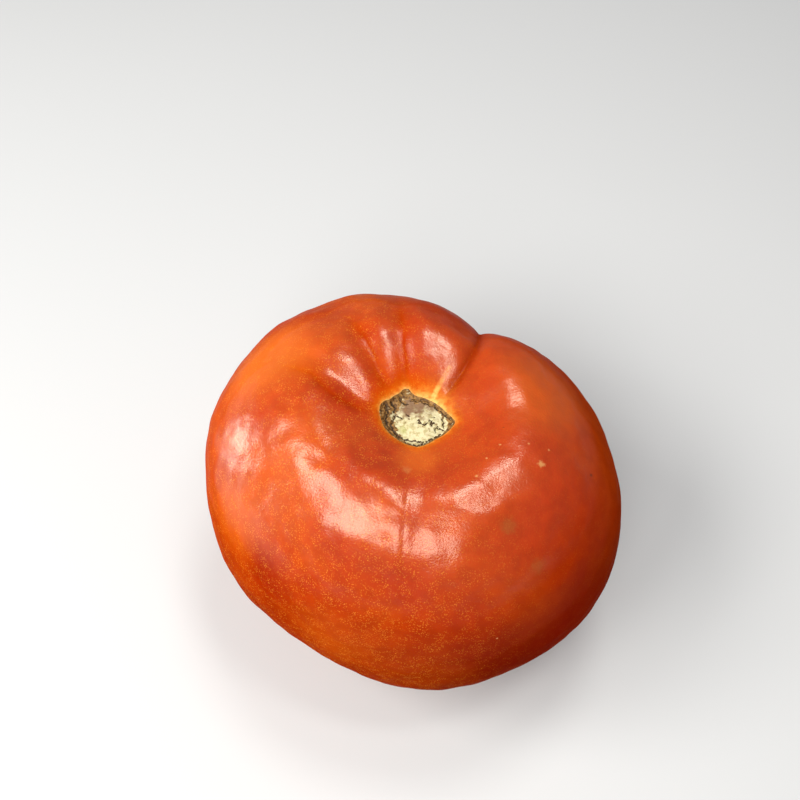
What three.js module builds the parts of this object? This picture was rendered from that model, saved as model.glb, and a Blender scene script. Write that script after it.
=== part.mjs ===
// A ripe beefsteak tomato, picked, standing on its blossom end with its stem scar on top.
// Millimetres, +Z up. The origin is the middle of the small flat spot that the fruit rests on.
// Angles are in degrees around the stem axis, counter-clockwise from +X when seen from above.
// "Travel" is the way along the skin: 0 at the middle of the stem scar, 1 at the middle of the rest spot.

import * as THREE from 'three';
import { mergeVertices } from 'three/addons/utils/BufferGeometryUtils.js';

// Driving dimensions.
const HEIGHT = 73.1; // crest of the shoulders above the rest spot
const CREST_RADIUS = 22; // where the shoulders are highest, around the stem
const BASIN_DEPTH = 5; // from the crest down to the stem scar
const BASIN_WALL_RADIUS = 13.5;
const BASIN_WALL_DEPTH = 1.9;
const BROW_RADIUS = 31; // just outside the crest
const BROW_DEPTH = 4.1;
const SHOULDER_RADIUS = 37.6;
const SHOULDER_HEIGHT = 62.1;
const CHEEK_RADIUS = 43.1; // above the girth
const CHEEK_HEIGHT = 52;
const GIRTH_RADIUS = 44.8; // mean radius at the widest level
const GIRTH_HEIGHT = 36.3;
const FLANK_RADIUS = 42.1; // below the girth
const FLANK_HEIGHT = 22;
const UNDER_RADIUS = 35.7; // where the flank turns in under the fruit
const UNDER_HEIGHT = 10.5;
const FOOT_RADIUS = 25; // edge of the nearly flat underside
const FOOT_HEIGHT = 3.2;
const REST_RADIUS = 10; // the flat spot
const SCAR_RADIUS = 6.6; // mean radius of the corky scar left by the stem
const SCAR_RISE = 0.5; // the basin's floor rises this much from its middle to the scar's edge
const SCAR_SINK = 0.8; // the dry scar lies this much below the skin around it
const SCAR_EDGE_INNER = 0.85; // the step down to the scar begins and ends at these shares of its radius
const SCAR_EDGE_OUTER = 1.1;
const LEAN_X = 0.057; // sideways drift of the axis for each millimetre of height
const LEAN_Y = 0.021;

// Resolution.
const SEGMENTS = 80;
const RINGS = 54;
const STEM_END_CROWDING = 1.3; // above 1 the rings stand closer together near the stem
const MERGE_DISTANCE = 1e-3;

// The plan is not a circle: each wave adds its lobes to the radius, as a share of it.
const PLAN_WAVES = [
  { lobes: 2, rise: 0.071, crest: -37 },
  { lobes: 3, rise: 0.02, crest: -8 },
  { lobes: 4, rise: 0.009, crest: 24 },
  { lobes: 5, rise: 0.007, crest: -20 },
];
const PLAN_WAVES_START = 0.06; // travel where the waves begin
const PLAN_WAVES_FULL = 0.3;

// The scar's outline: round, with one drawn-out tip and a bump across from it.
const SCAR_WAVES = [
  { lobes: 1, rise: 0.08, crest: 217 },
  { lobes: 2, rise: 0.11, crest: 151 },
  { lobes: 3, rise: 0.05, crest: 5 },
  { lobes: 4, rise: 0.03, crest: -7 },
];

// Furrows run from the basin over the shoulders and fade on the cheeks. Each leaves the stem at one angle
// and bends to its own angle over the shoulder. It starts, is full, begins to fade and ends at the travels
// given.
const FURROWS = [
  { stem: 38, angle: 61, depth: 3.7, halfWidth: 36, starts: 0.06, full: 0.2, fades: 0.36, ends: 0.6 },
  { stem: 104, angle: 97, depth: 1.1, halfWidth: 20, starts: 0.05, full: 0.13, fades: 0.24, ends: 0.44 },
  { stem: 131, angle: 123, depth: 1.4, halfWidth: 20, starts: 0.05, full: 0.13, fades: 0.26, ends: 0.46 },
  { stem: 166, angle: 150, depth: 1.5, halfWidth: 22, starts: 0.05, full: 0.13, fades: 0.28, ends: 0.5 },
  { stem: 205, angle: 205, depth: 0.6, halfWidth: 30, starts: 0.1, full: 0.25, fades: 0.35, ends: 0.5 },
  { stem: 268, angle: 265, depth: 1.1, halfWidth: 20, starts: 0.08, full: 0.18, fades: 0.32, ends: 0.55 },
  { stem: 350, angle: 4, depth: 0.7, halfWidth: 34, starts: 0.07, full: 0.18, fades: 0.35, ends: 0.55 },
];
const BEND_START = 0.05; // travel where the furrows begin to bend
const BEND_END = 0.22;

// Swellings and hollows on the cheeks. A negative lift is a hollow.
const SWELLINGS = [
  { angle: 168, travel: 0.36, lift: 2.5, halfWidth: 46, reach: 0.24 },
  { angle: 23, travel: 0.5, lift: 0.8, halfWidth: 44, reach: 0.24 },
  { angle: 275, travel: 0.67, lift: 0.8, halfWidth: 50, reach: 0.26 },
  { angle: 244, travel: 0.62, lift: -1.2, halfWidth: 50, reach: 0.26 },
  { angle: 335, travel: 0.62, lift: 2.2, halfWidth: 44, reach: 0.26 },
];

const SKIN = { color: 0xb53a10, roughness: 0.32, metalness: 0 };

/** Smallest turn from one angle to another, in degrees from -180 to 180. */
function turnBetween(from, to) {
  return THREE.MathUtils.euclideanModulo(to - from + 180, 360) - 180;
}

/** Smooth hump: 1 in the middle, 0 from one half-width outward. */
function hump(offset, halfWidth) {
  const reach = Math.min(Math.abs(offset) / halfWidth, 1);
  return (1 + Math.cos(Math.PI * reach)) / 2;
}

/** Valley between two rounded lobes: 1 at its sharp bottom, 0 from one half-width outward. */
function crease(offset, halfWidth) {
  const reach = Math.min(Math.abs(offset) / halfWidth, 1);
  return (1 - reach) ** 2;
}

/** Sum of waves around the axis at one angle, as a share of the radius. */
function waveShare(waves, angle) {
  return waves.reduce((sum, wave) => {
    const phase = THREE.MathUtils.degToRad(wave.lobes * (angle - wave.crest));
    return sum + wave.rise * Math.cos(phase);
  }, 0);
}

/** Half of the fruit's section, from the stem scar over the shoulder and the girth to the rest spot. */
function sectionCurve() {
  const scarHeight = HEIGHT - BASIN_DEPTH;
  return new THREE.SplineCurve([
    new THREE.Vector2(0, scarHeight),
    new THREE.Vector2(SCAR_RADIUS, scarHeight + SCAR_RISE),
    new THREE.Vector2(BASIN_WALL_RADIUS, HEIGHT - BASIN_WALL_DEPTH),
    new THREE.Vector2(CREST_RADIUS, HEIGHT),
    new THREE.Vector2(BROW_RADIUS, HEIGHT - BROW_DEPTH),
    new THREE.Vector2(SHOULDER_RADIUS, SHOULDER_HEIGHT),
    new THREE.Vector2(CHEEK_RADIUS, CHEEK_HEIGHT),
    new THREE.Vector2(GIRTH_RADIUS, GIRTH_HEIGHT),
    new THREE.Vector2(FLANK_RADIUS, FLANK_HEIGHT),
    new THREE.Vector2(UNDER_RADIUS, UNDER_HEIGHT),
    new THREE.Vector2(FOOT_RADIUS, FOOT_HEIGHT),
    new THREE.Vector2(REST_RADIUS, 0),
    new THREE.Vector2(0, 0),
  ]);
}

/** Travel of a ring of the turned body, given its place from the rest spot (0) up to the scar (1). */
function ringTravel(share) {
  return (1 - share) ** STEM_END_CROWDING;
}

/** Section turned around the stem axis, which is then stood up along +Z. */
function turnedBody() {
  const curve = sectionCurve();
  const points = [];
  for (let ring = 0; ring <= RINGS; ring += 1) {
    points.push(curve.getPointAt(ringTravel(ring / RINGS)));
  }
  points[0].set(0, 0);
  points[RINGS].x = 0;
  const body = new THREE.LatheGeometry(points, SEGMENTS);
  body.rotateX(Math.PI / 2);
  return body;
}

/** Angle of a furrow's line at one travel. */
function furrowAngle(furrow, travel) {
  const bend = THREE.MathUtils.smoothstep(travel, BEND_START, BEND_END);
  return furrow.stem + bend * turnBetween(furrow.stem, furrow.angle);
}

/** How far the skin stands out from the turned body, square to it, because of furrows and swellings. */
function skinLift(angle, travel) {
  let lift = 0;
  for (const furrow of FURROWS) {
    const across = crease(turnBetween(furrowAngle(furrow, travel), angle), furrow.halfWidth);
    const rise = THREE.MathUtils.smoothstep(travel, furrow.starts, furrow.full);
    const fade = 1 - THREE.MathUtils.smoothstep(travel, furrow.fades, furrow.ends);
    lift -= furrow.depth * across * rise * fade;
  }
  for (const swelling of SWELLINGS) {
    const across = hump(turnBetween(swelling.angle, angle), swelling.halfWidth);
    lift += swelling.lift * across * hump(travel - swelling.travel, swelling.reach);
  }
  return lift;
}

/** How far the stem scar sinks below the skin at a plan radius and angle. */
function scarSink(radius, angle) {
  const edge = SCAR_RADIUS * (1 + waveShare(SCAR_WAVES, angle));
  const outside = THREE.MathUtils.smoothstep(radius, SCAR_EDGE_INNER * edge, SCAR_EDGE_OUTER * edge);
  return SCAR_SINK * (1 - outside);
}

/** Moves one point of the turned body to its place on the fruit. */
function shapePoint(point, outward, travel) {
  const angle = THREE.MathUtils.radToDeg(Math.atan2(point.y, point.x));
  const waves = THREE.MathUtils.smoothstep(travel, PLAN_WAVES_START, PLAN_WAVES_FULL);
  const widening = 1 + waves * waveShare(PLAN_WAVES, angle);
  point.x *= widening;
  point.y *= widening;
  point.addScaledVector(outward, skinLift(angle, travel));
  if (travel < PLAN_WAVES_FULL) {
    point.z -= scarSink(Math.hypot(point.x, point.y), angle);
  }
  point.z = Math.max(point.z, 0);
  point.x += LEAN_X * point.z;
  point.y += LEAN_Y * point.z;
}

/** The whole fruit as one closed solid with shared vertices. */
function fruitGeometry() {
  const body = turnedBody();
  const { position, normal, uv } = body.attributes;
  const point = new THREE.Vector3();
  const outward = new THREE.Vector3();
  for (let i = 0; i < position.count; i += 1) {
    point.fromBufferAttribute(position, i);
    outward.fromBufferAttribute(normal, i);
    shapePoint(point, outward, ringTravel(uv.getY(i)));
    position.setXYZ(i, point.x, point.y, point.z);
  }
  body.deleteAttribute('normal');
  body.deleteAttribute('uv');
  const fruit = mergeVertices(body, MERGE_DISTANCE);
  fruit.computeVertexNormals();
  return fruit;
}

const tomato = new THREE.Mesh(fruitGeometry(), new THREE.MeshStandardMaterial(SKIN));
tomato.name = 'tomato';

const part = new THREE.Group();
part.add(tomato);

export default part;
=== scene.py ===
"""A ripe beefsteak tomato with its corky stem scar, standing on a pale studio floor.

Sizes are in millimetres and turned into metres where meshes are made. Angles are in degrees around the stem
axis, counter-clockwise from +X seen from above.
"""

import logging
import math
from dataclasses import dataclass, field
from enum import Enum
from functools import partial
from typing import Callable

import bmesh
import bpy
import numpy as np
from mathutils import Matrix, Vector


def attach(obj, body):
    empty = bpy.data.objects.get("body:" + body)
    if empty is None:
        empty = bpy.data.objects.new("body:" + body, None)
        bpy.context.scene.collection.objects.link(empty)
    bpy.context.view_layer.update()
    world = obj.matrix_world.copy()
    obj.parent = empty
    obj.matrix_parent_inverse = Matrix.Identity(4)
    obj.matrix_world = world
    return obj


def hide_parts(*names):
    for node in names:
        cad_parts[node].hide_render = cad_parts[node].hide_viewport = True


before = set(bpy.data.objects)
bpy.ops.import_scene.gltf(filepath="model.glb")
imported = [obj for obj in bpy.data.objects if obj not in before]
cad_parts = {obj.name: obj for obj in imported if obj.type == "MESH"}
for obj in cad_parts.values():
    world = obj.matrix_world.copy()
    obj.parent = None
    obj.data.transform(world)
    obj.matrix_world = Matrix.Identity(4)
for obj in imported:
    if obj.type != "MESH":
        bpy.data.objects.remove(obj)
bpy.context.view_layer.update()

FRUIT_NODE = "tomato"
FRUIT_PIECE = "tomato_fruit"
MM = 0.001

Socket = bpy.types.NodeSocket
Colour = tuple[float, float, float]
Place = tuple[float, float]

log = logging.getLogger("tomato")


class Region(Enum):
    """The parts of the fruit's surface, each with its own material slot number."""

    SKIN = 0
    SCAR = 1


# ----------------------------------------------
# Small tools
# ----------------------------------------------


def smooth_step(low: float, high: float, value: np.ndarray | float) -> np.ndarray:
    """Ease from 0 at one value to 1 at another.

    Args:
        low: The value that gives 0.
        high: The value that gives 1.
        value: The values to ease.

    Returns:
        The eased values, from 0 to 1.
    """
    share = np.clip((value - low) / (high - low), 0.0, 1.0)
    return share * share * (3.0 - 2.0 * share)


def turn_between(start: np.ndarray | float, end: np.ndarray | float) -> np.ndarray:
    """Find the smallest turn from one angle to another.

    Args:
        start: The first angle, in degrees.
        end: The second angle, in degrees.

    Returns:
        The turn, from -180 to 180 degrees.
    """
    return (np.asarray(end) - start + 180.0) % 360.0 - 180.0


def direction(azimuth: float, elevation: float) -> Vector:
    """Turn two angles into an arrow.

    Args:
        azimuth: The angle round the vertical.
        elevation: The angle above the horizon.

    Returns:
        The arrow, one unit long.
    """
    turn, tip = math.radians(azimuth), math.radians(elevation)
    return Vector((math.cos(turn) * math.cos(tip), math.sin(turn) * math.cos(tip), math.sin(tip)))


def select_only(obj: bpy.types.Object) -> None:
    """Select one object, make it active and leave all others unselected.

    Args:
        obj: The object to work on next.
    """
    bpy.ops.object.select_all(action="DESELECT")
    obj.select_set(True)
    bpy.context.view_layer.objects.active = obj


def apply_modifier(obj: bpy.types.Object, kind: str, **settings: object) -> None:
    """Add one modifier to an object and apply it at once.

    Args:
        obj: The object to change.
        kind: Blender's name for the modifier type.
        **settings: The modifier's own settings.
    """
    select_only(obj)
    modifier = obj.modifiers.new(kind.lower(), kind)
    for name, value in settings.items():
        setattr(modifier, name, value)
    bpy.ops.object.modifier_apply(modifier=modifier.name)


def vertex_points(mesh: bpy.types.Mesh) -> np.ndarray:
    """Read a mesh's vertices as an array of points in millimetres."""
    return read_all(mesh.vertices, "co", float, width=3).reshape(-1, 3) / MM


def read_all(items: bpy.types.bpy_prop_collection, name: str, kind: type, width: int = 1) -> np.ndarray:
    """Read one property of all the items of a mesh.

    Args:
        items: The mesh's loops or polygons.
        name: The property's name.
        kind: The type of its numbers.
        width: How many numbers each item has.

    Returns:
        The numbers in a row.
    """
    values = np.empty(len(items) * width, dtype=kind)
    items.foreach_get(name, values)
    return values


def turn_and_polar(arms: np.ndarray) -> tuple[np.ndarray, np.ndarray]:
    """Find the angle round the vertical and the angle from straight up of each arrow.

    Args:
        arms: The arrows.

    Returns:
        The two angles.
    """
    turn = np.degrees(np.arctan2(arms[:, 1], arms[:, 0]))
    return turn, np.degrees(np.arctan2(np.hypot(arms[:, 0], arms[:, 1]), arms[:, 2]))


def store_values(mesh: bpy.types.Mesh, name: str, values: np.ndarray) -> None:
    """Store one number for each vertex, for a material to read.

    Args:
        mesh: The mesh that gets the numbers.
        name: The attribute's name.
        values: One value for each vertex.
    """
    attribute = mesh.attributes.new(name, "FLOAT", "POINT")
    attribute.data.foreach_set("value", values.astype(np.float32))


def smoothed_copy(node: str, levels: int) -> bpy.types.Object:
    """Copy a CAD node as one joined and smoothed surface to shape other meshes on.

    Args:
        node: The CAD node's name.
        levels: How often each face is divided.

    Returns:
        The copy, which is only a working aid.
    """
    copy = bpy.data.objects.new("guide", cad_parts[node].data.copy())
    bpy.context.scene.collection.objects.link(copy)
    select_only(copy)
    bpy.ops.object.mode_set(mode="EDIT")
    bpy.ops.mesh.select_all(action="SELECT")
    bpy.ops.mesh.remove_doubles(threshold=0.01 * MM)
    bpy.ops.mesh.tris_convert_to_quads()
    bpy.ops.object.mode_set(mode="OBJECT")
    apply_modifier(copy, "SUBSURF", levels=levels, render_levels=levels)
    return copy


# ----------------------------------------------
# Materials
# ----------------------------------------------


class NodeBench:
    """Adds and joins the nodes of one material, so that a finish reads as a short recipe."""

    def __init__(self, name: str) -> None:
        """Start an empty material.

        Args:
            name: The material's name.
        """
        self.material = bpy.data.materials.new(name)
        self.material.use_nodes = True
        self.tree = self.material.node_tree
        self.tree.nodes.clear()
        self.output = self.tree.nodes.new("ShaderNodeOutputMaterial")
        self.shader = self.tree.nodes.new("ShaderNodeBsdfPrincipled")
        self.tree.links.new(self.shader.outputs["BSDF"], self.output.inputs["Surface"])
        self.place = self.tree.nodes.new("ShaderNodeTexCoord").outputs["Object"]

    def feed(self, socket: Socket, value: object) -> None:
        """Give an input a fixed value or another node's output.

        Args:
            socket: The input.
            value: A number, a tuple or an output socket.
        """
        if isinstance(value, Socket):
            self.tree.links.new(value, socket)
        elif isinstance(value, tuple) and len(value) == 3 and socket.type == "RGBA":
            socket.default_value = (*value, 1.0)
        else:
            socket.default_value = value

    def attribute(self, name: str) -> Socket:
        """Read a number stored on the mesh.

        Args:
            name: The attribute's name.

        Returns:
            The number.
        """
        node = self.tree.nodes.new("ShaderNodeAttribute")
        node.attribute_name = name
        return node.outputs["Fac"]

    def math(self, operation: str, first: object, second: object, clamp: bool = False) -> Socket:
        """Work out one sum.

        Args:
            operation: Blender's name for the sum.
            first: The first number or output.
            second: The second number or output.
            clamp: Whether the result is kept from 0 to 1.

        Returns:
            The result.
        """
        node = self.tree.nodes.new("ShaderNodeMath")
        node.operation = operation
        node.use_clamp = clamp
        self.feed(node.inputs[0], first)
        self.feed(node.inputs[1], second)
        return node.outputs[0]

    def fade(self, value: Socket, start: float, end: float, low: float = 0.0, high: float = 1.0) -> Socket:
        """Ease a value from one range to another.

        Args:
            value: The output to ease.
            start: The value that gives low.
            end: The value that gives high.
            low: The result at start.
            high: The result at end.

        Returns:
            The eased value.
        """
        node = self.tree.nodes.new("ShaderNodeMapRange")
        node.interpolation_type = "SMOOTHSTEP"
        self.feed(node.inputs["Value"], value)
        for name, number in (("From Min", start), ("From Max", end), ("To Min", low), ("To Max", high)):
            node.inputs[name].default_value = number
        return node.outputs["Result"]

    def blend(self, share: object, first: object, second: object) -> Socket:
        """Mix two colours.

        Args:
            share: How much of the second colour shows.
            first: The colour at 0.
            second: The colour at 1.

        Returns:
            The mixed colour.
        """
        node = self.tree.nodes.new("ShaderNodeMix")
        node.data_type = "RGBA"
        self.feed(node.inputs["Factor"], share)
        self.feed(node.inputs["A"], first)
        self.feed(node.inputs["B"], second)
        return next(out for out in node.outputs if out.type == "RGBA")

    def noise(self, grain: float, detail: float = 2.0) -> Socket:
        """Cloudy pattern.

        Args:
            grain: The size of one cloud, in millimetres.
            detail: How many finer layers it has.

        Returns:
            The pattern, about 0.3 to 0.7.
        """
        node = self.tree.nodes.new("ShaderNodeTexNoise")
        self.feed(node.inputs["Vector"], self.place)
        node.inputs["Scale"].default_value = 1.0 / (grain * MM)
        node.inputs["Detail"].default_value = detail
        return node.outputs["Fac"]

    def cells(self, grain: float) -> Socket:
        """Distance to the nearest of many scattered dots.

        Args:
            grain: The mean spacing of the dots, in millimetres.

        Returns:
            The distance, as a share of the spacing.
        """
        node = self.tree.nodes.new("ShaderNodeTexVoronoi")
        self.feed(node.inputs["Vector"], self.place)
        node.inputs["Scale"].default_value = 1.0 / (grain * MM)
        return node.outputs["Distance"]

    def distance(self, point: Vector) -> Socket:
        """Distance from a point on the piece.

        Args:
            point: The point, in metres.

        Returns:
            The distance, in metres.
        """
        node = self.tree.nodes.new("ShaderNodeVectorMath")
        node.operation = "DISTANCE"
        self.feed(node.inputs[0], self.place)
        node.inputs[1].default_value = point
        return node.outputs["Value"]

    def axis(self, letter: str) -> Socket:
        """One of the piece's own coordinates.

        Args:
            letter: X, Y or Z.

        Returns:
            The coordinate, in metres.
        """
        node = self.tree.nodes.new("ShaderNodeSeparateXYZ")
        self.feed(node.inputs["Vector"], self.place)
        return node.outputs[letter]

    def facing(self) -> Socket:
        """How far the surface turns from the viewer: 0 square on, 1 at the outline."""
        node = self.tree.nodes.new("ShaderNodeLayerWeight")
        return node.outputs["Facing"]

    def relief(self, height: Socket, depth: float) -> None:
        """Let light catch a fine relief, in the surface and in its coat.

        Args:
            height: The pattern, 0 in the dips and 1 on the bumps.
            depth: The height of the bumps, in millimetres.
        """
        node = self.tree.nodes.new("ShaderNodeBump")
        node.inputs["Strength"].default_value = 1.0
        node.inputs["Distance"].default_value = depth * MM
        self.feed(node.inputs["Height"], height)
        for name in ("Normal", "Coat Normal"):
            self.feed(self.shader.inputs[name], node.outputs["Normal"])

    def set(self, **values: object) -> None:
        """Set the shader's own inputs, with underscores for the spaces in their names."""
        for name, value in values.items():
            self.feed(self.shader.inputs[name.replace("_", " ")], value)


@dataclass(frozen=True)
class Blemish:
    """A mark or a patch of colour on the skin, in a direction seen from the heart of the fruit."""

    azimuth: float
    polar: float
    radius: float
    tint: Colour
    strength: float


PALE: Colour = (0.88, 0.50, 0.20)
TAN: Colour = (0.62, 0.30, 0.11)
OLIVE: Colour = (0.26, 0.11, 0.02)
DARK: Colour = (0.07, 0.02, 0.006)
ORANGE: Colour = (0.72, 0.14, 0.008)
CRIMSON: Colour = (0.22, 0.0060, 0.0004)


@dataclass(frozen=True)
class SkinFinish:
    """Ripe, waxy skin: orange red, darker low down and in the furrows, with golden flecks and a yellow ring
    round the scar.

    The darker red low down and on the right is partly the fruit's deeper red and partly painted shade, and
    the darkened furrows are painted shade.
    The pale stripe up the main furrow is partly pale skin and partly a painted highlight.
    Each layer of flecks is its spacing in millimetres, its fleck size as a share of that, and its strength.
    """

    ripe: Colour = (0.47, 0.036, 0.0008)
    # Deep red for the random mottle, and for painted shade low down, on the right and in the furrows.
    deep_red_and_shade: Colour = (0.165, 0.0052, 0.0003)
    warm: Colour = (0.61, 0.092, 0.003)
    halo: Colour = (0.82, 0.26, 0.012)
    lip: Colour = (0.86, 0.62, 0.24)
    fleck: Colour = (0.84, 0.30, 0.03)
    fleck_layers: tuple[tuple[float, float, float], ...] = ((0.36, 0.44, 0.42), (0.75, 0.24, 0.55))
    roughness: float = 0.40
    ior: float = 1.40
    flesh_glow: float = 0.12
    glow_reach: tuple[float, float, float] = (3.0, 0.7, 0.3)
    sheen: float = 0.34
    sheen_tint: Colour = (1.0, 0.82, 0.52)
    wax_roughness: float = 0.24
    wax_ior: float = 1.62
    grain_depth: float = 0.07
    patches: tuple[Blemish, ...] = (
        Blemish(155, 48.0, 13.0, ORANGE, 0.85),
        Blemish(205, 62.0, 9.0, ORANGE, 0.3),
        Blemish(245, 78.0, 10.0, ORANGE, 0.2),
        Blemish(10, 36.0, 11.0, ORANGE, 0.4),
        Blemish(270, 18.0, 5.0, ORANGE, 0.6),
        # The crimson patch low on the right front is partly the fruit's deeper red and partly painted
        # shade.
        Blemish(318, 80.0, 15.0, CRIMSON, 0.6),
        Blemish(222, 66.0, 7.0, CRIMSON, 0.4),
    )
    blemishes: tuple[Blemish, ...] = (
        Blemish(331, 36.3, 0.75, TAN, 0.85),
        Blemish(330, 26.1, 0.3, PALE, 0.5),
        Blemish(304, 27.5, 0.35, PALE, 0.5),
        Blemish(317, 25.5, 0.25, PALE, 0.4),
        Blemish(337, 31.7, 0.25, PALE, 0.4),
        Blemish(339, 36.8, 0.25, PALE, 0.4),
        Blemish(343, 25.2, 0.2, DARK, 0.5),
        Blemish(341, 50.4, 0.4, DARK, 0.6),
        Blemish(304, 41.4, 1.8, OLIVE, 0.35),
        Blemish(261, 21.5, 1.1, TAN, 0.22),
        Blemish(291, 69.5, 0.3, PALE, 0.7),
        Blemish(307, 53.9, 1.9, OLIVE, 0.25),
        Blemish(0, 179.0, 1.5, OLIVE, 1.0),
        Blemish(0, 179.0, 0.8, DARK, 0.8),
    )

    def build(self, find_skin: Callable[[float, float], Vector]) -> bpy.types.Material:
        """Make the material.

        Args:
            find_skin: Gives the point of the skin in a direction from the heart of the fruit.

        Returns:
            The finished material.
        """
        bench = NodeBench("tomato_skin")
        ragged = bench.fade(bench.noise(0.9), 0.3, 0.7, -1.0, 1.0)
        colour = self.ripe_colour_and_shade(bench)
        for patch in self.patches:
            colour = self.mark(bench, colour, patch, find_skin(patch.azimuth, patch.polar), ragged)
        colour = self.flecks(bench, colour)
        colour = self.round_the_scar(bench, colour)
        for blemish in self.blemishes:
            colour = self.mark(bench, colour, blemish, find_skin(blemish.azimuth, blemish.polar), ragged)
        bench.set(Base_Color=colour, Subsurface_Weight=self.flesh_glow)
        bench.set(Subsurface_Radius=self.glow_reach, Subsurface_Scale=MM)
        self.wax(bench)
        return bench.material

    def wax(self, bench: NodeBench) -> None:
        """Give the skin its gloss, which fades towards the outline and where the skin is stored as dull.

        Args:
            bench: The material's bench.
        """
        rough = bench.fade(bench.noise(9.0), 0.35, 0.65, self.roughness - 0.05, self.roughness + 0.05)
        square_on = bench.fade(bench.facing(), 0.35, 0.68, 1.0, 0.03)
        polish = bench.math("MULTIPLY", square_on, bench.attribute("polish"))
        bench.set(Roughness=rough, IOR=self.ior, Specular_Tint=self.sheen_tint)
        bench.set(Specular_IOR_Level=bench.math("MULTIPLY", polish, self.sheen))
        bench.set(Coat_Weight=polish, Coat_Roughness=self.wax_roughness, Coat_IOR=self.wax_ior)
        waves = bench.math("MULTIPLY", bench.noise(1.7), 0.8)
        pores = bench.math("MULTIPLY", bench.noise(0.4), 0.6)
        bench.relief(bench.math("ADD", waves, pores), self.grain_depth)

    def ripe_colour_and_shade(self, bench: NodeBench) -> Socket:
        """Lay the ripe colour, darkened low down and on the right partly as deeper red and partly as
        painted shade, and in the furrows as painted shade.

        Args:
            bench: The material's bench.

        Returns:
            The colour.
        """
        # Painted shade, partly the fruit's deeper red: the colour darkens low down, more so on the right.
        height = bench.fade(bench.axis("Z"), 30 * MM, 75 * MM)
        side = bench.fade(bench.axis("X"), -30 * MM, 42 * MM)
        patches = bench.fade(bench.noise(24.0, 3.0), 0.36, 0.64)
        lowness = bench.math("SUBTRACT", 1.0, height)
        depth = bench.math("MULTIPLY", lowness, bench.fade(side, 0.0, 1.0, 0.6, 1.0))
        colour = bench.blend(depth, self.ripe, self.deep_red_and_shade)
        warmth = bench.math("MULTIPLY", patches, bench.fade(side, 0.0, 1.0, 0.7, 0.3))
        warmth = bench.math("MULTIPLY", warmth, bench.fade(height, 0.0, 1.0, 0.45, 1.0))
        colour = bench.blend(warmth, colour, self.warm)
        # Painted shade: the furrows are darkened, the deepest one most.
        crease_shade = bench.fade(bench.attribute("crease"), 0.0, 0.9, 0.0, 0.5)
        colour = bench.blend(crease_shade, colour, self.deep_red_and_shade)
        mottle = bench.fade(bench.noise(3.2, 4.0), 0.4, 0.62, 0.0, 0.15)
        return bench.blend(mottle, colour, self.deep_red_and_shade)

    def flecks(self, bench: NodeBench, colour: Socket) -> Socket:
        """Scatter golden flecks, dense on one side and scarce on the other.

        Args:
            bench: The material's bench.
            colour: The colour under the flecks.

        Returns:
            The colour with its flecks.
        """
        density = bench.attribute("flecks")
        crowd = bench.fade(bench.noise(2.0), 0.36, 0.62)
        for spacing, size, strength in self.fleck_layers:
            dot = bench.fade(bench.cells(spacing), size, size * 0.4, 0.0, strength)
            share = bench.math("MULTIPLY", bench.math("MULTIPLY", dot, crowd), density)
            colour = bench.blend(share, colour, self.fleck)
        return colour

    def round_the_scar(self, bench: NodeBench, colour: Socket) -> Socket:
        """Lay the yellow ring round the scar, the pale stripe up the main furrow, which is partly pale skin
        and partly a painted highlight, and the thin lip.

        Args:
            bench: The material's bench.
            colour: The colour under the ring.

        Returns:
            The colour with its ring.
        """
        ragged = bench.fade(bench.noise(0.9, 3.0), 0.3, 0.7, 0.55, 1.35)
        halo = bench.math("MULTIPLY", bench.attribute("halo"), ragged, clamp=True)
        colour = bench.blend(halo, colour, self.halo)
        lip = bench.math("MULTIPLY", bench.attribute("lip"), ragged, clamp=True)
        return bench.blend(lip, colour, self.lip)

    @staticmethod
    def mark(
        bench: NodeBench, colour: Socket, blemish: Blemish, point: Vector, ragged: Socket
    ) -> Socket:
        """Lay one mark or patch.

        Args:
            bench: The material's bench.
            colour: The colour under the mark.
            blemish: The mark.
            point: Its place on the skin, in metres.
            ragged: A fine pattern that makes the mark's edge uneven.

        Returns:
            The colour with its mark.
        """
        reach = bench.math("MULTIPLY", bench.distance(point), 1.0 / (blemish.radius * MM))
        edge = bench.math("ADD", reach, bench.math("MULTIPLY", ragged, min(0.4, 0.3 / blemish.radius)))
        return bench.blend(bench.fade(edge, 1.3, 0.3, 0.0, blemish.strength), colour, blemish.tint)


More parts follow.
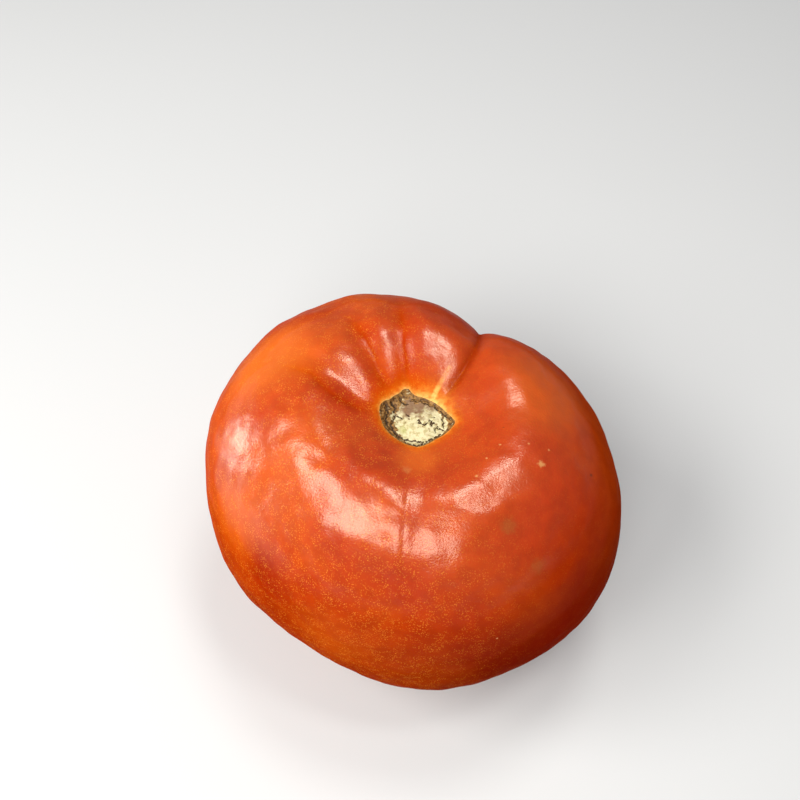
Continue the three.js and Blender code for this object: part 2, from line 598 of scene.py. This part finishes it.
@dataclass(frozen=True)
class CorkFinish:
    """Dry cork of the stem scar: cream in the middle, brown and cracked at the rim."""

    cream: Colour = (0.70, 0.66, 0.46)
    smear: Colour = (0.42, 0.36, 0.17)
    green: Colour = (0.44, 0.46, 0.17)
    mauve: Colour = (0.22, 0.115, 0.07)
    bark: Colour = (0.36, 0.195, 0.062)
    char: Colour = (0.095, 0.040, 0.012)
    pit: Colour = (0.058, 0.027, 0.010)
    roughness: float = 0.6
    ior: float = 1.45
    grain_depth: float = 0.12

    def build(self) -> bpy.types.Material:
        """Make the material.

        Returns:
            The finished material.
        """
        bench = NodeBench("stem_scar_cork")
        fine = bench.noise(0.45, 4.0)
        coarse = bench.noise(1.3, 4.0)
        smears = bench.fade(bench.noise(0.9, 5.0), 0.47, 0.64, 0.0, 0.75)
        colour = bench.blend(smears, self.cream, self.smear)
        green = bench.math("ADD", bench.attribute("green"), bench.fade(coarse, 0.3, 0.7, -0.4, 0.4))
        colour = bench.blend(bench.fade(green, 0.3, 1.0, 0.0, 0.6), colour, self.green)
        shade = bench.math("ADD", bench.attribute("shade"), bench.fade(coarse, 0.3, 0.7, -0.35, 0.35))
        colour = bench.blend(bench.fade(shade, 0.10, 0.90, 0.0, 0.93), colour, self.mauve)
        ragged = bench.fade(bench.noise(0.8, 5.0), 0.25, 0.75, -0.6, 0.6)
        rim = bench.math("ADD", bench.attribute("rim"), ragged)
        bark = bench.blend(bench.fade(bench.noise(0.7, 5.0), 0.34, 0.64), self.char, self.bark)
        colour = bench.blend(bench.fade(rim, 0.35, 0.65), colour, bark)
        crack = bench.math("ADD", bench.attribute("crack"), bench.fade(fine, 0.3, 0.7, -0.3, 0.3))
        colour = bench.blend(bench.fade(crack, 0.35, 0.75), colour, self.pit)
        bench.set(Base_Color=colour, Roughness=self.roughness, IOR=self.ior)
        bench.relief(bench.math("ADD", fine, coarse), self.grain_depth)
        return bench.material


@dataclass(frozen=True)
class FloorFinish:
    """Matt pale floor with the faintest unevenness."""

    pale: Colour = (0.70, 0.75, 0.89)
    shade: Colour = (0.67, 0.72, 0.855)
    cloud_size: float = 240.0
    roughness: float = 0.8

    def build(self) -> bpy.types.Material:
        """Make the material.

        Returns:
            The finished material.
        """
        bench = NodeBench("pale_floor")
        clouds = bench.noise(self.cloud_size)
        bench.set(Base_Color=bench.blend(clouds, self.pale, self.shade), Roughness=self.roughness)
        return bench.material


# ----------------------------------------------
# Fruit
# ----------------------------------------------


@dataclass(frozen=True)
class Furrow:
    """A crease that runs out from the scar along a path of (distance from the stem axis, angle) points."""

    path: tuple[Place, ...]
    depth: float
    width: float

    def profile(self, angle: np.ndarray, radius: np.ndarray) -> np.ndarray:
        """Find how much of the furrow's depth each point has.

        Args:
            angle: Each point's angle round the stem axis.
            radius: Each point's distance from the stem axis.

        Returns:
            The share of the depth, from 0 to 1.
        """
        reach, turns = np.array(self.path, dtype=float).T
        line = np.interp(radius, reach, turns)
        across = np.radians(turn_between(line, angle)) * radius
        start = smooth_step(reach[0] - 1.0, reach[0] + 3.0, radius)
        end = 1.0 - smooth_step(reach[-1] - 8.0, reach[-1], radius)
        return start * end * np.exp(-np.abs(across / self.width) ** 1.3)


@dataclass(frozen=True)
class Dent:
    """A soft hollow in the skin, or a swelling if its depth is negative, in a direction from the middle."""

    azimuth: float
    polar: float
    depth: float
    length: float
    width: float
    tilt: float = 0.0

    def profile(self, points: np.ndarray, middle: np.ndarray) -> np.ndarray:
        """Find how much of the dent's depth each point has.

        Args:
            points: Points in millimetres.
            middle: The dent's middle on the skin, in millimetres.

        Returns:
            The share of the depth, from 0 to 1.
        """
        turn, tip, tilt = np.radians([self.azimuth, self.polar, self.tilt])
        east = np.array([-np.sin(turn), np.cos(turn), 0.0])
        down = np.array([np.cos(turn) * np.cos(tip), np.sin(turn) * np.cos(tip), -np.sin(tip)])
        offset = points - middle
        along = offset @ (np.cos(tilt) * down + np.sin(tilt) * east)
        across = offset @ (np.cos(tilt) * east - np.sin(tilt) * down)
        near = np.linalg.norm(offset, axis=1) < 3.0 * max(self.length, self.width)
        return near * np.exp(-((along / self.length) ** 2) - (across / self.width) ** 2)


@dataclass(frozen=True)
class Stroke:
    """A thin line on the scar, through points in plan coordinates from the scar's middle."""

    points: tuple[Place, ...]
    width: float

    def share(self, across: np.ndarray, along: np.ndarray) -> np.ndarray:
        """Find how strongly each point is marked.

        Args:
            across: First plan coordinates.
            along: Second plan coordinates.

        Returns:
            The strengths, 1 on the line and 0 from one width away.
        """
        gap = np.full(across.shape, 99.0)
        for (x, y), (end_x, end_y) in zip(self.points, self.points[1:]):
            run, rise = end_x - x, end_y - y
            way = np.clip(((across - x) * run + (along - y) * rise) / (run * run + rise * rise), 0.0, 1.0)
            gap = np.minimum(gap, np.hypot(across - x - way * run, along - y - way * rise))
        return 1.0 - smooth_step(0.25 * self.width, self.width, gap)


@dataclass(frozen=True)
class Oval:
    """A soft oval on the scar, in plan coordinates from the scar's middle."""

    middle: Place
    reach: Place

    def share(self, across: np.ndarray, along: np.ndarray) -> np.ndarray:
        """Find how much each point belongs to the oval.

        Args:
            across: First plan coordinates.
            along: Second plan coordinates.

        Returns:
            The shares, from 0 to 1.
        """
        first = (across - self.middle[0]) / self.reach[0]
        second = (along - self.middle[1]) / self.reach[1]
        return np.exp(-(first**2) - second**2)


@dataclass
class StemScar:
    """The dry scar where the stem broke off, in plan coordinates from its own middle.

    The outline and the bark band are (angle, millimetres) points.
    """

    middle: Place = (3.9, 1.0)
    outline: tuple[Place, ...] = (
        (0, 7.0), (14, 6.1), (33, 5.5), (58, 5.2), (88, 5.4), (96, 5.9), (102, 7.0), (108, 7.4),
        (114, 7.2), (121, 6.9), (129, 7.1), (140, 7.0), (149, 7.6), (160, 7.8), (174, 7.4), (189, 6.9),
        (208, 6.6), (225, 6.4), (241, 6.4),
        (259, 6.7), (272, 7.1), (286, 6.6), (306, 6.3), (325, 6.8), (343, 7.5), (350, 7.8),
    )
    bark_band: tuple[Place, ...] = (
        (0, 1.3), (30, 0.7), (60, 0.6), (90, 1.3), (115, 2.5), (150, 2.8), (180, 2.9), (205, 2.5),
        (230, 1.3), (260, 0.6), (290, 0.35), (330, 0.5), (350, 1.2),
    )
    cracks: tuple[Stroke, ...] = (
        Stroke(((0.4, -0.2), (0.45, -0.8), (1.1, -1.25), (1.75, -1.45), (2.25, -1.05)), 0.34),
        Stroke(((2.3, -1.0), (2.7, -0.3), (3.0, 0.2), (3.8, 0.6)), 0.17),
        Stroke(((3.1, -0.2), (3.05, -1.5), (3.7, -0.9)), 0.36),
        Stroke(((4.3, -1.5), (3.9, -2.4), (3.9, -3.1)), 0.26),
        Stroke(((5.3, 0.6), (5.6, -0.6), (5.5, -1.8)), 0.3),
        Stroke(((4.6, -2.1), (5.7, -2.5)), 0.24),
        Stroke(((-4.2, 1.6), (-4.7, 0.2), (-5.2, -1.2), (-4.8, -2.4), (-4.3, -3.3), (-3.5, -4.1)), 0.34),
        Stroke(((-3.5, -4.1), (-2.4, -4.6), (-1.2, -4.9), (0.2, -5.1), (1.4, -5.4)), 0.26),
        Stroke(((-2.2, -6.0), (-0.4, -6.4), (0.9, -6.1), (2.4, -5.2), (3.8, -4.3), (5.0, -3.6)), 0.26),
        Stroke(((-0.6, -6.3), (0.0, -6.4)), 0.55),
        Stroke(((-3.9, 1.3), (-3.4, 0.9), (-2.9, 0.5)), 0.34),
        Stroke(((-1.8, 1.4), (-1.5, 1.0)), 0.28),
        Stroke(((-4.0, -3.2), (-3.8, -3.7)), 0.4),
        Stroke(((-1.0, 4.9), (0.8, 4.6), (2.6, 3.8), (4.3, 2.6), (5.4, 1.5), (6.2, 0.4)), 0.3),
        Stroke(((-6.2, 3.4), (-5.9, 2.0), (-6.3, 0.4), (-5.9, -1.4)), 0.4),
        Stroke(((-5.2, 4.2), (-4.4, 3.0), (-4.6, 2.0)), 0.4),
        Stroke(((-3.4, 5.6), (-3.0, 4.4), (-1.8, 4.0)), 0.36),
        Stroke(((0.3, -1.95), (0.5, -2.0)), 0.16),
        Stroke(((0.9, -2.1), (1.0, -2.1)), 0.16),
    )
    # Pale stripe up the main furrow from the scar: pale skin near the scar, and further out a painted
    # highlight along the furrow's edge.
    pale_streak_and_highlight: Stroke = Stroke(((3.6, 5.0), (4.5, 6.7), (5.6, 8.7), (7.1, 11.1)), 0.75)
    dome: Oval = Oval((0.8, -0.6), (4.2, 3.8))
    shaded: Oval = Oval((-0.7, 3.5), (4.6, 3.0))
    greenish: Oval = Oval((-3.0, -2.4), (1.8, 1.6))
    drop: float = 0.55
    lip_rise: float = 0.12
    lip_width: float = 0.7
    lip_place: float = 0.9
    dome_rise: float = 1.2
    bark_rise: float = 0.35
    bark_lump: float = 0.75
    crack_depth: float = 0.4

    def edge(self, angle: np.ndarray) -> np.ndarray:
        """Find the scar's radius at angles round its middle."""
        turns, radii = np.array(self.outline, dtype=float).T
        return np.interp(angle, turns, radii, period=360.0)

    def bark(self, angle: np.ndarray, gap: np.ndarray) -> np.ndarray:
        """Find how much each point belongs to the brown band inside the outline.

        Args:
            angle: Angles round the scar's middle.
            gap: Distances outside the outline, negative inside it.

        Returns:
            The shares, from 0 to 1.
        """
        turns, widths = np.array(self.bark_band, dtype=float).T
        band = np.interp(angle, turns, widths, period=360.0)
        return 1.0 - smooth_step(0.5, 1.3, -gap / band)

    def cracked(self, across: np.ndarray, along: np.ndarray) -> np.ndarray:
        """Find how strongly each point is cracked.

        Args:
            across: First plan coordinates.
            along: Second plan coordinates.

        Returns:
            The strengths, from 0 to 1.
        """
        shaken_x = across + 0.10 * np.sin(5.3 * along + 1.1) + 0.05 * np.sin(13.7 * along)
        shaken_y = along + 0.10 * np.sin(4.7 * across + 0.4) + 0.05 * np.sin(12.1 * across)
        return np.max([crack.share(shaken_x, shaken_y) for crack in self.cracks], axis=0)


@dataclass
class FruitForm:
    """The whole fruit as one closed surface, shaped on the CAD solid and finished with fine relief.

    The dents and the marks on the skin are aimed from the heart. Each kind of unevenness is a name, the
    size of its bumps and their height.
    """

    segments: int = 88
    rings: int = 57
    cage_radius: float = 62.0
    cage_height: float = 34.0
    heart: tuple[float, float, float] = (4.1, 1.5, 34.0)
    grown_from: float = 1.0
    grown_above: float = 9.0
    dull_below: float = 54.0
    waxed_above: float = 68.0
    scar_height: float = 68.2
    foot_radius: float = 9.0
    ring_crowding: float = 1.12
    lean: Place = (0.057, 0.021)
    scar: StemScar = field(default_factory=StemScar)
    furrows: tuple[Furrow, ...] = (
        Furrow(((8, 38), (10, 42), (13, 45), (17, 49), (21, 52), (28, 59), (39, 61)), 0.9, 1.4),
        Furrow(((8, 103), (13, 100), (17, 99), (31, 97)), 0.2, 1.6),
        Furrow(((8, 131), (12, 130), (16, 124), (20, 122), (31, 122)), 0.3, 1.7),
        Furrow(((9, 178), (15, 174), (18, 170), (23, 160), (33, 157)), 0.25, 2.0),
        Furrow(((19, 264), (22, 264), (27, 264), (32, 265), (41, 266)), 0.15, 0.5),
    )
    dents: tuple[Dent, ...] = (
        Dent(301.0, 37.0, -0.42, 2.4, 5.5),
        Dent(311.0, 42.0, 0.25, 4.0, 6.0),
        Dent(6.0, 27.0, 0.1, 4.0, 3.0, 40.0),
        Dent(263.0, 37.0, -0.62, 9.0, 3.4),
        Dent(278.0, 33.5, 0.16, 2.4, 5.0, -30.0),
        Dent(212.5, 31.5, 0.3, 2.0, 3.4, 30.0),
        Dent(206.0, 36.0, -0.25, 3.5, 3.0),
        Dent(238.0, 38.0, 0.2, 2.2, 6.0, 20.0),
        Dent(246.0, 31.0, 0.15, 5.0, 2.5),
        Dent(189.0, 52.0, -0.2, 8.0, 3.5),
    )
    unevenness: tuple[tuple[str, float, float], ...] = (
        ("broad_dents", 17.0, 0.7), ("dents", 7.0, 0.42), ("small_dents", 3.5, 0.12),
    )

    def build(self) -> bpy.types.Object:
        """Model the fruit.

        Returns:
            The fruit, not yet dressed.
        """
        guide = smoothed_copy(FRUIT_NODE, levels=2)
        fruit = self.cage()
        self.wrap(fruit, guide)
        bpy.data.objects.remove(guide)
        apply_modifier(fruit, "SUBSURF", levels=2, render_levels=2)
        self.soften_cheeks(fruit)
        self.carve(fruit)
        self.shape_scar(fruit)
        self.write_patterns(fruit)
        self.unwrap(fruit)
        fruit.data.shade_smooth()
        return fruit

    @property
    def centre(self) -> Vector:
        """Middle of the cage, under the scar, in metres."""
        return Vector((*self.scar.middle, self.cage_height)) * MM

    @property
    def foot_polar(self) -> float:
        """Angle from straight up to the edge of the foot, seen from the middle of the cage."""
        return 180.0 - math.degrees(math.atan2(self.foot_radius, self.cage_height))

    def skin_point(self, fruit: bpy.types.Object, azimuth: float, polar: float) -> Vector:
        """Find the point of a surface in a direction from the heart of the fruit.

        Args:
            fruit: The surface.
            azimuth: The angle round the stem axis.
            polar: The angle from straight up.

        Returns:
            The point, in metres.
        """
        return fruit.ray_cast(Vector(self.heart) * MM, direction(azimuth, 90.0 - polar))[1]

    def cage(self) -> bpy.types.Object:
        """Start from a globe whose rings follow the scar's outline, closed at both ends with a grid.

        Returns:
            The cage, in object mode.
        """
        bpy.ops.object.select_all(action="DESELECT")
        bpy.ops.mesh.primitive_uv_sphere_add(
            segments=self.segments,
            ring_count=self.rings + 1,
            radius=self.cage_radius * MM,
            location=self.centre,
        )
        globe = bpy.context.object
        globe.name = FRUIT_PIECE
        bpy.ops.object.transform_apply(location=True, rotation=True, scale=True)
        bpy.ops.object.mode_set(mode="EDIT")
        self.open_poles(globe)
        self.lay_rings(globe)
        for region, sign in ((Region.SCAR, 1.0), (Region.SKIN, -1.0)):
            self.close_end(globe, region, sign)
        bpy.ops.mesh.select_all(action="SELECT")
        bpy.ops.mesh.normals_make_consistent(inside=False)
        bpy.ops.object.mode_set(mode="OBJECT")
        return globe

    def open_poles(self, globe: bpy.types.Object) -> None:
        """Delete the globe's two pole points.

        Args:
            globe: The globe, in edit mode.
        """
        bpy.ops.mesh.select_all(action="DESELECT")
        shape = bmesh.from_edit_mesh(globe.data)
        for vert in shape.verts:
            vert.select = len(vert.link_edges) == self.segments
        bmesh.update_edit_mesh(globe.data)
        bpy.ops.mesh.delete(type="VERT")

    def lay_rings(self, globe: bpy.types.Object) -> None:
        """Move the globe's rings so that the first lies over the scar's outline and the last over the foot.

        Args:
            globe: The globe, in edit mode.
        """
        shape = bmesh.from_edit_mesh(globe.data)
        scar_above = self.scar_height - self.cage_height
        mean_edge = float(np.mean(self.scar.edge(np.arange(0.0, 360.0, 5.0))))
        round_edge = math.degrees(math.atan2(mean_edge, scar_above))
        for vert in shape.verts:
            arm = vert.co - self.centre
            polar = math.degrees(math.atan2(math.hypot(arm.x, arm.y), arm.z))
            angle = math.degrees(math.atan2(arm.y, arm.x))
            share = (round(polar * (self.rings + 1) / 180.0) - 1) / (self.rings - 1)
            own_edge = math.degrees(math.atan2(float(self.scar.edge(angle)), scar_above))
            start = own_edge + (round_edge - own_edge) * float(smooth_step(0.0, 0.22, share))
            polar = start + (self.foot_polar - start) * share**self.ring_crowding
            vert.co = self.centre + direction(angle, 90.0 - polar) * self.cage_radius * MM
        bmesh.update_edit_mesh(globe.data)

    def close_end(self, globe: bpy.types.Object, region: Region, sign: float) -> None:
        """Close one open end with a square grid.

        Args:
            globe: The globe, in edit mode.
            region: The region that the grid belongs to.
            sign: 1 for the upper end, -1 for the lower.
        """
        bpy.ops.mesh.select_mode(type="EDGE")
        bpy.ops.mesh.select_all(action="DESELECT")
        shape = bmesh.from_edit_mesh(globe.data)
        for edge in shape.edges:
            middle = (edge.verts[0].co + edge.verts[1].co) / 2 - self.centre
            edge.select = edge.is_boundary and middle.z * sign > 0
        bmesh.update_edit_mesh(globe.data)
        bpy.ops.mesh.fill_grid(span=self.segments // 4)
        shape = bmesh.from_edit_mesh(globe.data)
        for face in shape.faces:
            if face.select:
                face.material_index = region.value
        bmesh.update_edit_mesh(globe.data)

    def wrap(self, fruit: bpy.types.Object, guide: bpy.types.Object) -> None:
        """Draw the cage in onto the guide, straight towards the cage's middle.

        Args:
            fruit: The cage.
            guide: The smoothed copy of the CAD solid.
        """
        for vert in fruit.data.vertices:
            vert.co = guide.ray_cast(self.centre, (vert.co - self.centre).normalized())[1]

    def soften_cheeks(self, fruit: bpy.types.Object) -> None:
        """Give the cheeks the soft unevenness of grown skin, above the spot that the fruit rests on.

        Args:
            fruit: The wrapped and divided fruit.
        """
        grown = smooth_step(self.grown_from, self.grown_above, vertex_points(fruit.data)[:, 2])
        for name, size, height in self.unevenness:
            clouds = self.clouds(name, size, layers=1)
            self.raise_by(fruit, grown, height, 0.6, clouds)
            bpy.data.textures.remove(clouds)

    @staticmethod
    def clouds(name: str, size: float, layers: int) -> bpy.types.Texture:
        """Make a cloudy pattern for a modifier to follow.

        Args:
            name: The pattern's name.
            size: The size of one cloud, in millimetres.
            layers: How many finer layers it has.

        Returns:
            The pattern, which is only a working aid.
        """
        pattern = bpy.data.textures.new(name, "CLOUDS")
        pattern.noise_scale = size * MM
        pattern.noise_depth = layers
        return pattern

    def raise_by(
        self,
        fruit: bpy.types.Object,
        share: np.ndarray,
        height: float,
        mid_level: float = 0.0,
        texture: bpy.types.Texture | None = None,
    ) -> None:
        """Push part of the surface outwards, or inwards if the height is negative.

        Args:
            fruit: The fruit.
            share: How much of the height each vertex gets.
            height: The height, in millimetres.
            mid_level: The texture's value that moves nothing.
            texture: A pattern that the height follows, or None.
        """
        group = fruit.vertex_groups.new(name="share")
        steps = np.round(share * 200.0).astype(int)
        for step in np.unique(steps[steps > 0]):
            group.add(np.flatnonzero(steps == step).tolist(), float(step) / 200.0, "REPLACE")
        settings = {"texture": texture, "texture_coords": "LOCAL"} if texture else {}
        apply_modifier(
            fruit, "DISPLACE", vertex_group="share", strength=height * MM, mid_level=mid_level, **settings
        )
        fruit.vertex_groups.remove(fruit.vertex_groups["share"])

    def around_axis(self, points: np.ndarray) -> tuple[np.ndarray, np.ndarray]:
        """Angle and distance from the leaning stem axis.

        Args:
            points: Points in millimetres.

        Returns:
            The angles and the distances.
        """
        x = points[:, 0] - self.lean[0] * points[:, 2]
        y = points[:, 1] - self.lean[1] * points[:, 2]
        return np.degrees(np.arctan2(y, x)), np.hypot(x, y)

    def from_scar(self, points: np.ndarray) -> tuple[np.ndarray, np.ndarray, np.ndarray, np.ndarray]:
        """Plan place from the scar's middle, and the distance outside its outline.

        Args:
            points: Points in millimetres.

        Returns:
            The two plan coordinates, the angle and the distance, which is negative inside the outline.
        """
        across = points[:, 0] - self.scar.middle[0]
        along = points[:, 1] - self.scar.middle[1]
        around = np.degrees(np.arctan2(along, across))
        gap = np.hypot(across, along) - self.scar.edge(around)
        return across, along, around, np.where(points[:, 2] > self.cage_height, gap, 99.0)

    def carve(self, fruit: bpy.types.Object) -> None:
        """Press in the furrows and the dents.

        Args:
            fruit: The fruit.
        """
        points = vertex_points(fruit.data)
        angle, radius = self.around_axis(points)
        upper = smooth_step(self.cage_height - 8.0, self.cage_height + 8.0, points[:, 2])
        for furrow in self.furrows:
            self.raise_by(fruit, furrow.profile(angle, radius) * upper, -furrow.depth)
        for dent in self.dents:
            middle = np.array(self.skin_point(fruit, dent.azimuth, dent.polar)) / MM
            self.raise_by(fruit, dent.profile(points, middle), -dent.depth)

    def shape_scar(self, fruit: bpy.types.Object) -> None:
        """Sink the scar, raise its lip, dome and bark, and open its cracks.

        Args:
            fruit: The fruit.
        """
        scar = self.scar
        across, along, around, gap = self.from_scar(vertex_points(fruit.data))
        inside = 1.0 - smooth_step(-0.5, 0.15, gap)
        self.raise_by(fruit, np.exp(-(((gap - scar.lip_place) / scar.lip_width) ** 2)), scar.lip_rise)
        self.raise_by(fruit, inside, -scar.drop)
        self.raise_by(fruit, scar.dome.share(across, along) * inside, scar.dome_rise)
        bark = scar.bark(around, gap)
        lumps = self.clouds("bark", scar.bark_lump, layers=2)
        self.raise_by(fruit, bark * inside, 2.2 * scar.bark_rise, 0.3, lumps)
        self.raise_by(fruit, (1.0 - bark) * inside, 0.6 * scar.bark_rise, 0.5, lumps)
        bpy.data.textures.remove(lumps)
        self.raise_by(fruit, scar.cracked(across, along) * inside, -scar.crack_depth)

    def write_patterns(self, fruit: bpy.types.Object) -> None:
        """Store where each pattern of the two finishes lies.

        Args:
            fruit: The fruit.
        """
        points = vertex_points(fruit.data)
        for find in (self.ring_patterns, self.gloss_patterns, self.scar_patterns):
            for name, values in find(points).items():
                store_values(fruit.data, name, values)

    def ring_patterns(self, points: np.ndarray) -> dict[str, np.ndarray]:
        """Find where the flecks lie, and the yellow ring and pale lip with their pale stripe up the main
        furrow, which is partly pale skin and partly a painted highlight.

        Args:
            points: Points in millimetres.

        Returns:
            The named shares.
        """
        across, along, around, gap = self.from_scar(points)
        outside = np.clip(gap, 0.0, None)
        pale_streak_and_highlight = self.scar.pale_streak_and_highlight.share(across, along)
        streak_side = np.exp(-((turn_between(48.0, around) / 42.0) ** 2))
        taper = 1.0 - smooth_step(1.0, 5.5, outside)
        # The stripe adds pale colour to the ring and the lip: pale skin near the scar, a painted highlight
        # further out.
        halo = 0.95 * np.exp(-outside / (0.75 + 1.5 * streak_side)) + pale_streak_and_highlight * (0.2 + 0.4 * taper)
        lip = 0.7 * np.exp(-outside / (0.22 + 0.8 * streak_side)) + pale_streak_and_highlight * (0.14 + 0.3 * taper)
        leftness = 1.0 - smooth_step(-8.0, 26.0, points[:, 0] + 0.2 * points[:, 1])
        return {
            "halo": np.clip(halo, 0.0, 1.0),
            "lip": np.clip(lip, 0.0, 1.0),
            "flecks": 0.12 + 0.88 * leftness,
        }

    def gloss_patterns(self, points: np.ndarray) -> dict[str, np.ndarray]:
        """Find where the skin is creased, for the painted shade in the furrows, and where it is waxed.

        It is dull low down, in the furrows and next to the scar, most of all behind it.

        Args:
            points: Points in millimetres.

        Returns:
            The named shares.
        """
        around, gap = self.from_scar(points)[2:]
        angle, radius = self.around_axis(points)
        profiles = [furrow.profile(angle, radius) for furrow in self.furrows]
        # The crease share sets the painted shade in the furrows, strongest in the deepest one.
        deepest = max(furrow.depth for furrow in self.furrows)
        crease_shade = [profile * furrow.depth / deepest for profile, furrow in zip(profiles, self.furrows)]
        worn = np.max(profiles[:-1], axis=0)
        aside = np.clip(np.abs(points[:, 0]) - 20.0, 0.0, None) * np.sign(points[:, 0])
        waxed = 0.03 + 0.97 * smooth_step(self.dull_below, self.waxed_above, points[:, 2] - 0.35 * aside)
        behind = np.exp(-((turn_between(105.0, around) / 62.0) ** 2))
        outside = np.clip(gap, 0.0, None)
        clear = smooth_step(0.0, 1.0, (outside - 2.0 * behind) / (2.5 + 5.5 * behind))
        return {"polish": waxed * (1.0 - 0.92 * worn) * clear, "crease": np.max(crease_shade, axis=0)}

    def scar_patterns(self, points: np.ndarray) -> dict[str, np.ndarray]:
        """Find where the scar's bark, shaded side, green tinge and cracks lie.

        Args:
            points: Points in millimetres.

        Returns:
            The named shares.
        """
        across, along, around, gap = self.from_scar(points)
        return {
            "rim": self.scar.bark(around, gap),
            "shade": self.scar.shaded.share(across, along),
            "green": self.scar.greenish.share(across, along),
            "crack": self.scar.cracked(across, along),
        }

    def unwrap(self, fruit: bpy.types.Object) -> None:
        """Lay the surface out flat: the skin as a wide band, the scar and the foot as two small squares.

        Args:
            fruit: The fruit.
        """
        mesh = fruit.data
        centre = np.array(self.centre) / MM
        corners = read_all(mesh.loops, "vertex_index", int)
        sizes = read_all(mesh.polygons, "loop_total", int)
        regions = np.repeat(read_all(mesh.polygons, "material_index", int), sizes)
        middles = read_all(mesh.polygons, "center", float, width=3).reshape(-1, 3) / MM
        arms = vertex_points(mesh)[corners] - centre
        turn, polar = turn_and_polar(arms)
        face_turn, face_polar = turn_and_polar(np.repeat(middles, sizes, axis=0) - centre)
        near_turn = face_turn + turn_between(face_turn, turn)
        band = np.stack([near_turn / 360.0 + 0.5, 1.0 - 0.61 * polar / 180.0], axis=1)
        square = 0.18 + arms[:, :2] / 20.0 * 0.36
        foot = face_polar > self.foot_polar
        flat = np.where(foot[:, None], square + (0.4, 0.0), band)
        flat = np.where((regions == Region.SCAR.value)[:, None], square, flat)
        layer = mesh.uv_layers.new(name="OFBake")
        layer.uv.foreach_set("vector", np.clip(flat, 0.0, 1.0).astype(np.float32).ravel())


@dataclass
class Tomato:
    """The finished fruit: its form, its two finishes and its place in the frame."""

    form: FruitForm = field(default_factory=FruitForm)
    skin: SkinFinish = field(default_factory=SkinFinish)
    cork: CorkFinish = field(default_factory=CorkFinish)

    def build(self) -> bpy.types.Object:
        """Model, dress and place the fruit.

        Returns:
            The finished fruit.
        """
        fruit = self.form.build()
        find_skin = partial(self.form.skin_point, fruit)
        fruit.data.materials.append(self.skin.build(find_skin))
        fruit.data.materials.append(self.cork.build())
        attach(fruit, "root")
        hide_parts(FRUIT_NODE)
        return fruit


# ----------------------------------------------
# Studio
# ----------------------------------------------


@dataclass(frozen=True)
class Softbox:
    """A soft oval studio light that looks at the fruit from a direction, with its sizes in metres."""

    name: str
    azimuth: float
    elevation: float
    distance: float
    width: float
    height: float
    watts: float
    tint: Colour = (1.0, 0.93, 0.76)

    def place(self, target: Vector) -> None:
        """Put up the light.

        Args:
            target: The point it looks at.
        """
        lamp = bpy.data.lights.new(self.name, "AREA")
        lamp.shape = "ELLIPSE"
        lamp.size = self.width
        lamp.size_y = self.height
        lamp.energy = self.watts
        lamp.color = self.tint
        stand = bpy.data.objects.new(self.name, lamp)
        bpy.context.scene.collection.objects.link(stand)
        arm = direction(self.azimuth, self.elevation)
        stand.location = target + arm * self.distance
        stand.rotation_euler = (-arm).to_track_quat("-Z", "Y").to_euler()


@dataclass
class Studio:
    """Pale floor, soft lights and the camera. The floor's radius is in metres."""

    floor_radius: float = 3.0
    softboxes: tuple[Softbox, ...] = (
        Softbox("left_pane", 186, 50, 0.62, 0.24, 0.28, 1.5),
        Softbox("middle_pane", 219, 44, 0.62, 0.28, 0.28, 1.75),
        Softbox("right_pane", 257, 50, 0.62, 0.24, 0.36, 1.5),
        Softbox("overhead", 64, 73, 0.62, 0.18, 0.14, 0.95),
        Softbox("right_card", 347, 75, 0.62, 0.08, 0.17, 0.55),
        Softbox("left_strip", 169, 4, 0.55, 0.20, 0.15, 0.8),
    )
    ambient: float = 0.17
    ambient_tint: Colour = (1.0, 0.95, 0.88)
    camera_elevation: float = 57.215
    camera_distance: float = 256.13
    camera_target: tuple[float, float, float] = (0.54, 25.41, 37.0)
    lens: float = 47.38
    lamp_target: tuple[float, float, float] = (0.0, 0.0, 40.0)

    def build(self) -> None:
        """Lay the floor, set the lights and aim the camera."""
        self.lay_floor()
        for softbox in self.softboxes:
            softbox.place(Vector(self.lamp_target) * MM)
        self.fill_light()
        self.aim_camera()
        bpy.context.scene.view_settings.view_transform = "Standard"

    def lay_floor(self) -> None:
        """Lay a wide pale disc under the fruit."""
        bpy.ops.object.select_all(action="DESELECT")
        bpy.ops.mesh.primitive_circle_add(vertices=96, radius=self.floor_radius, fill_type="NGON")
        floor = bpy.context.object
        floor.name = "studio_floor"
        floor.data.materials.append(FloorFinish().build())

    def fill_light(self) -> None:
        """Light all sides a little."""
        world = bpy.data.worlds.new("studio")
        world.use_nodes = True
        background = world.node_tree.nodes["Background"]
        background.inputs["Color"].default_value = (*self.ambient_tint, 1.0)
        background.inputs["Strength"].default_value = self.ambient
        bpy.context.scene.world = world

    def aim_camera(self) -> None:
        """Set the camera and look down at the fruit."""
        camera = bpy.data.objects.new("camera", bpy.data.cameras.new("camera"))
        bpy.context.scene.collection.objects.link(camera)
        camera.data.lens = self.lens
        camera.data.clip_start = 0.01
        back = direction(-90.0, self.camera_elevation)
        camera.location = (Vector(self.camera_target) + back * self.camera_distance) * MM
        camera.rotation_euler = (-back).to_track_quat("-Z", "Y").to_euler()
        bpy.context.scene.camera = camera


def main() -> None:
    """Build the fruit and the studio."""
    logging.basicConfig(level=logging.INFO, format="%(message)s")
    fruit = Tomato().build()
    log.info("%s: %d vertices, %d faces", fruit.name, len(fruit.data.vertices), len(fruit.data.polygons))
    Studio().build()
    log.info("studio: floor, softboxes and camera")


if __name__ == "__main__":
    main()
